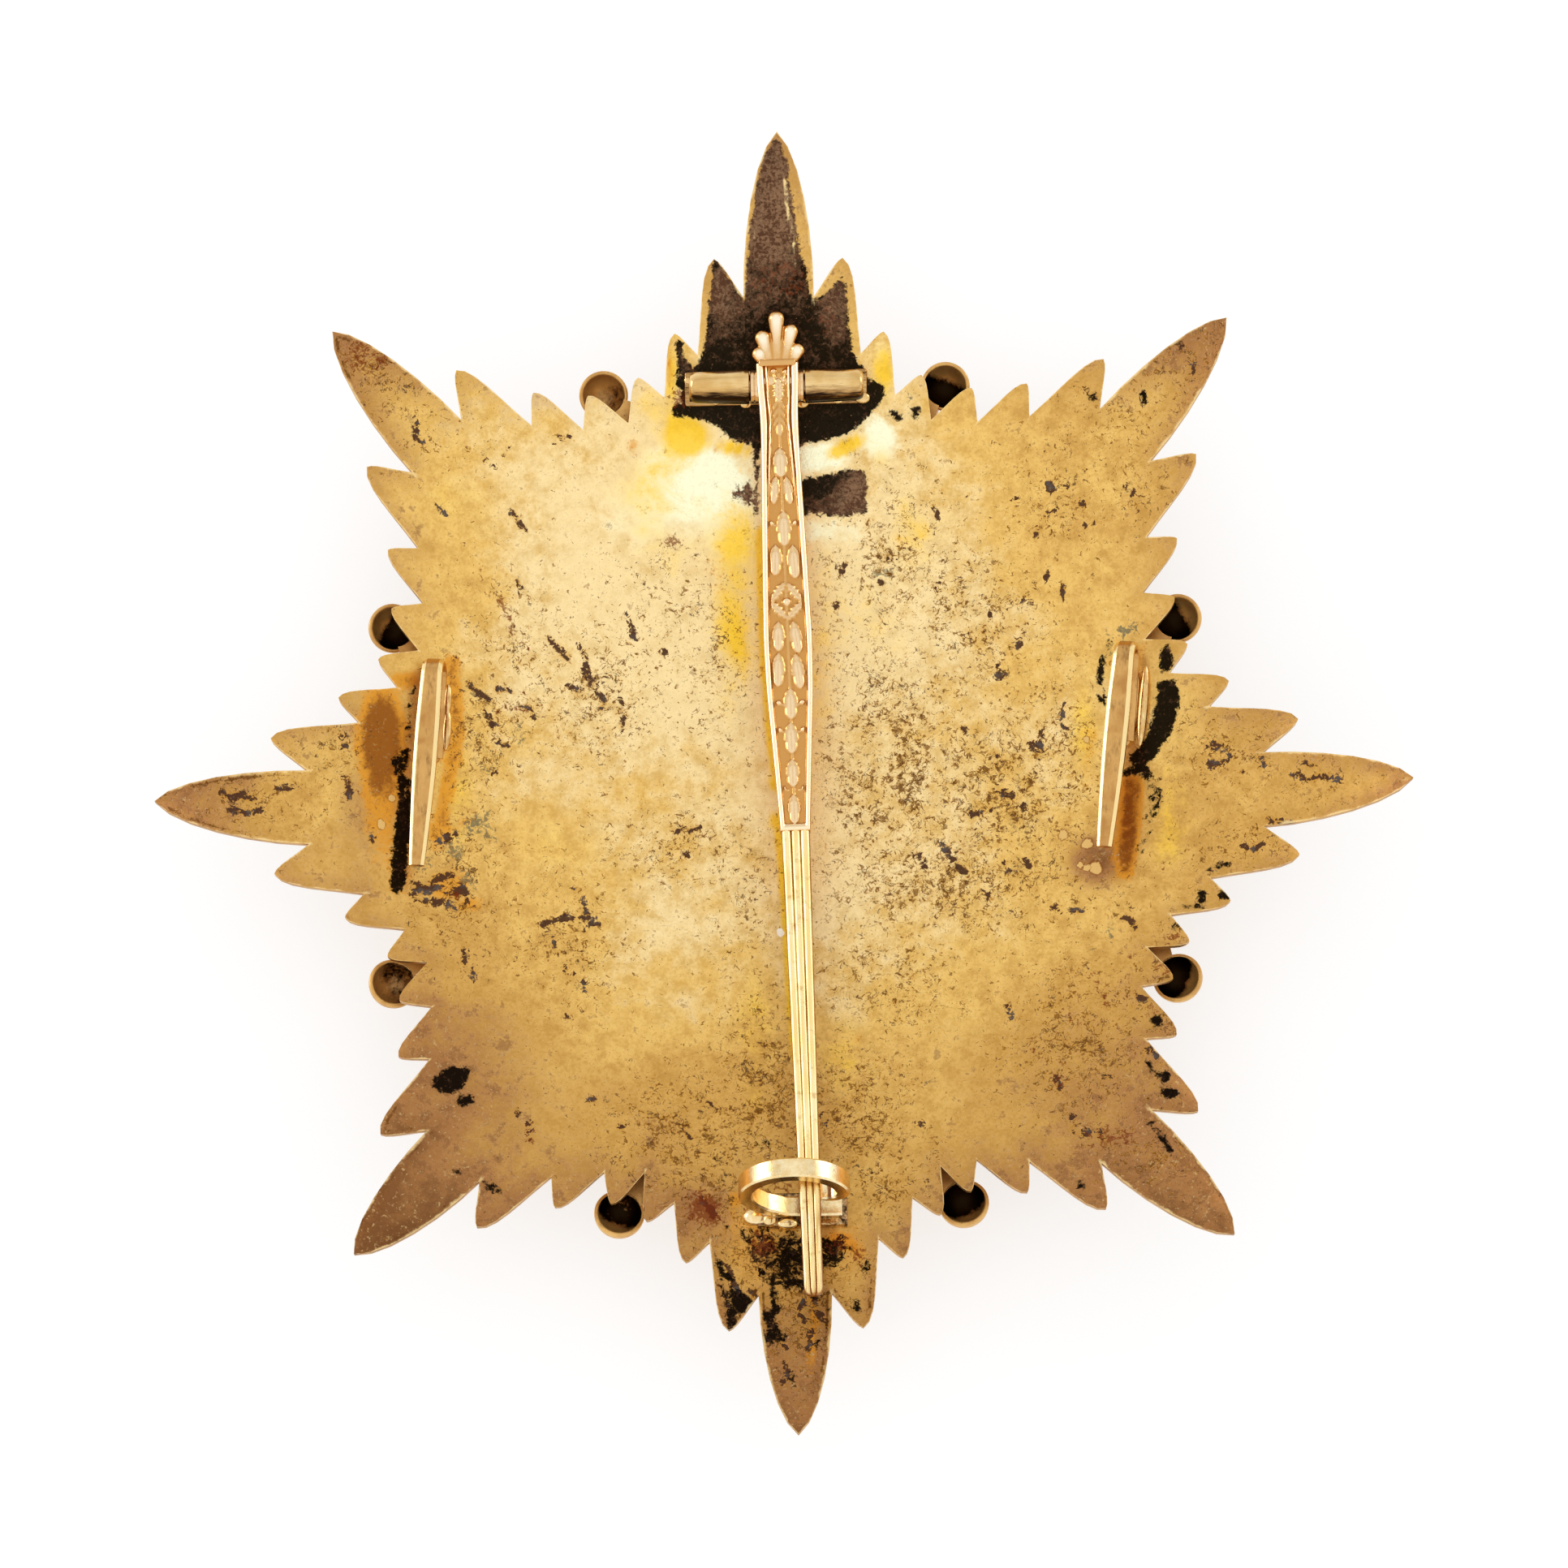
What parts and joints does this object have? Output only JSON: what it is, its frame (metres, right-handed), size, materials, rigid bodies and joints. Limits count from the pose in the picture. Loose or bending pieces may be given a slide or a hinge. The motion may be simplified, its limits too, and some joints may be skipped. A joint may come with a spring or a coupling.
{
  "type": "order badge",
  "caption": "Domed breast star of an order lying face down, its hollow gilt back fitted with an ornamented hinged pin, a ring catch and side hooks.",
  "frame": {"origin": "under the middle of the star, on the surface that it rests on, face down", "axes": "+X towards the ray on the right as the back is seen, +Y towards the ray beyond the hinge, +Z out of the hollow back"},
  "size_m": [0.0842, 0.0892, 0.0173],
  "materials": {
    "plate_gilt": "worn gilt with dark tarnish, satin",
    "cross_gilt": "brownish gilt, satin",
    "boss_gilt": "gilt, satin",
    "fitting_gilt": "gilt, polished",
    "axle_metal": "plain metal, satin",
    "pin_gilt": "cast relief, gilt, worn bright",
    "needle_gilt": "gilt, polished"
  },
  "bodies": {
    "star": {"star_plate": "plate_gilt", "cross": "cross_gilt", "centre_boss": "boss_gilt", "hinge_mount": "fitting_gilt", "hinge_axle": "axle_metal", "catch": "fitting_gilt", "hook_left": "fitting_gilt", "hook_right": "fitting_gilt"},
    "pin": {"brooch_pin": "pin_gilt", "needle": "needle_gilt"}
  },
  "joints": [
    {"name": "pin_hinge", "type": "hinge", "parent": "star", "child": "pin", "pos_m": [0.00008, 0.0277, 0.0117], "axis": [-1, 0, 0], "range_deg": [0, 18], "deforming": ["needle"]}
  ]
}
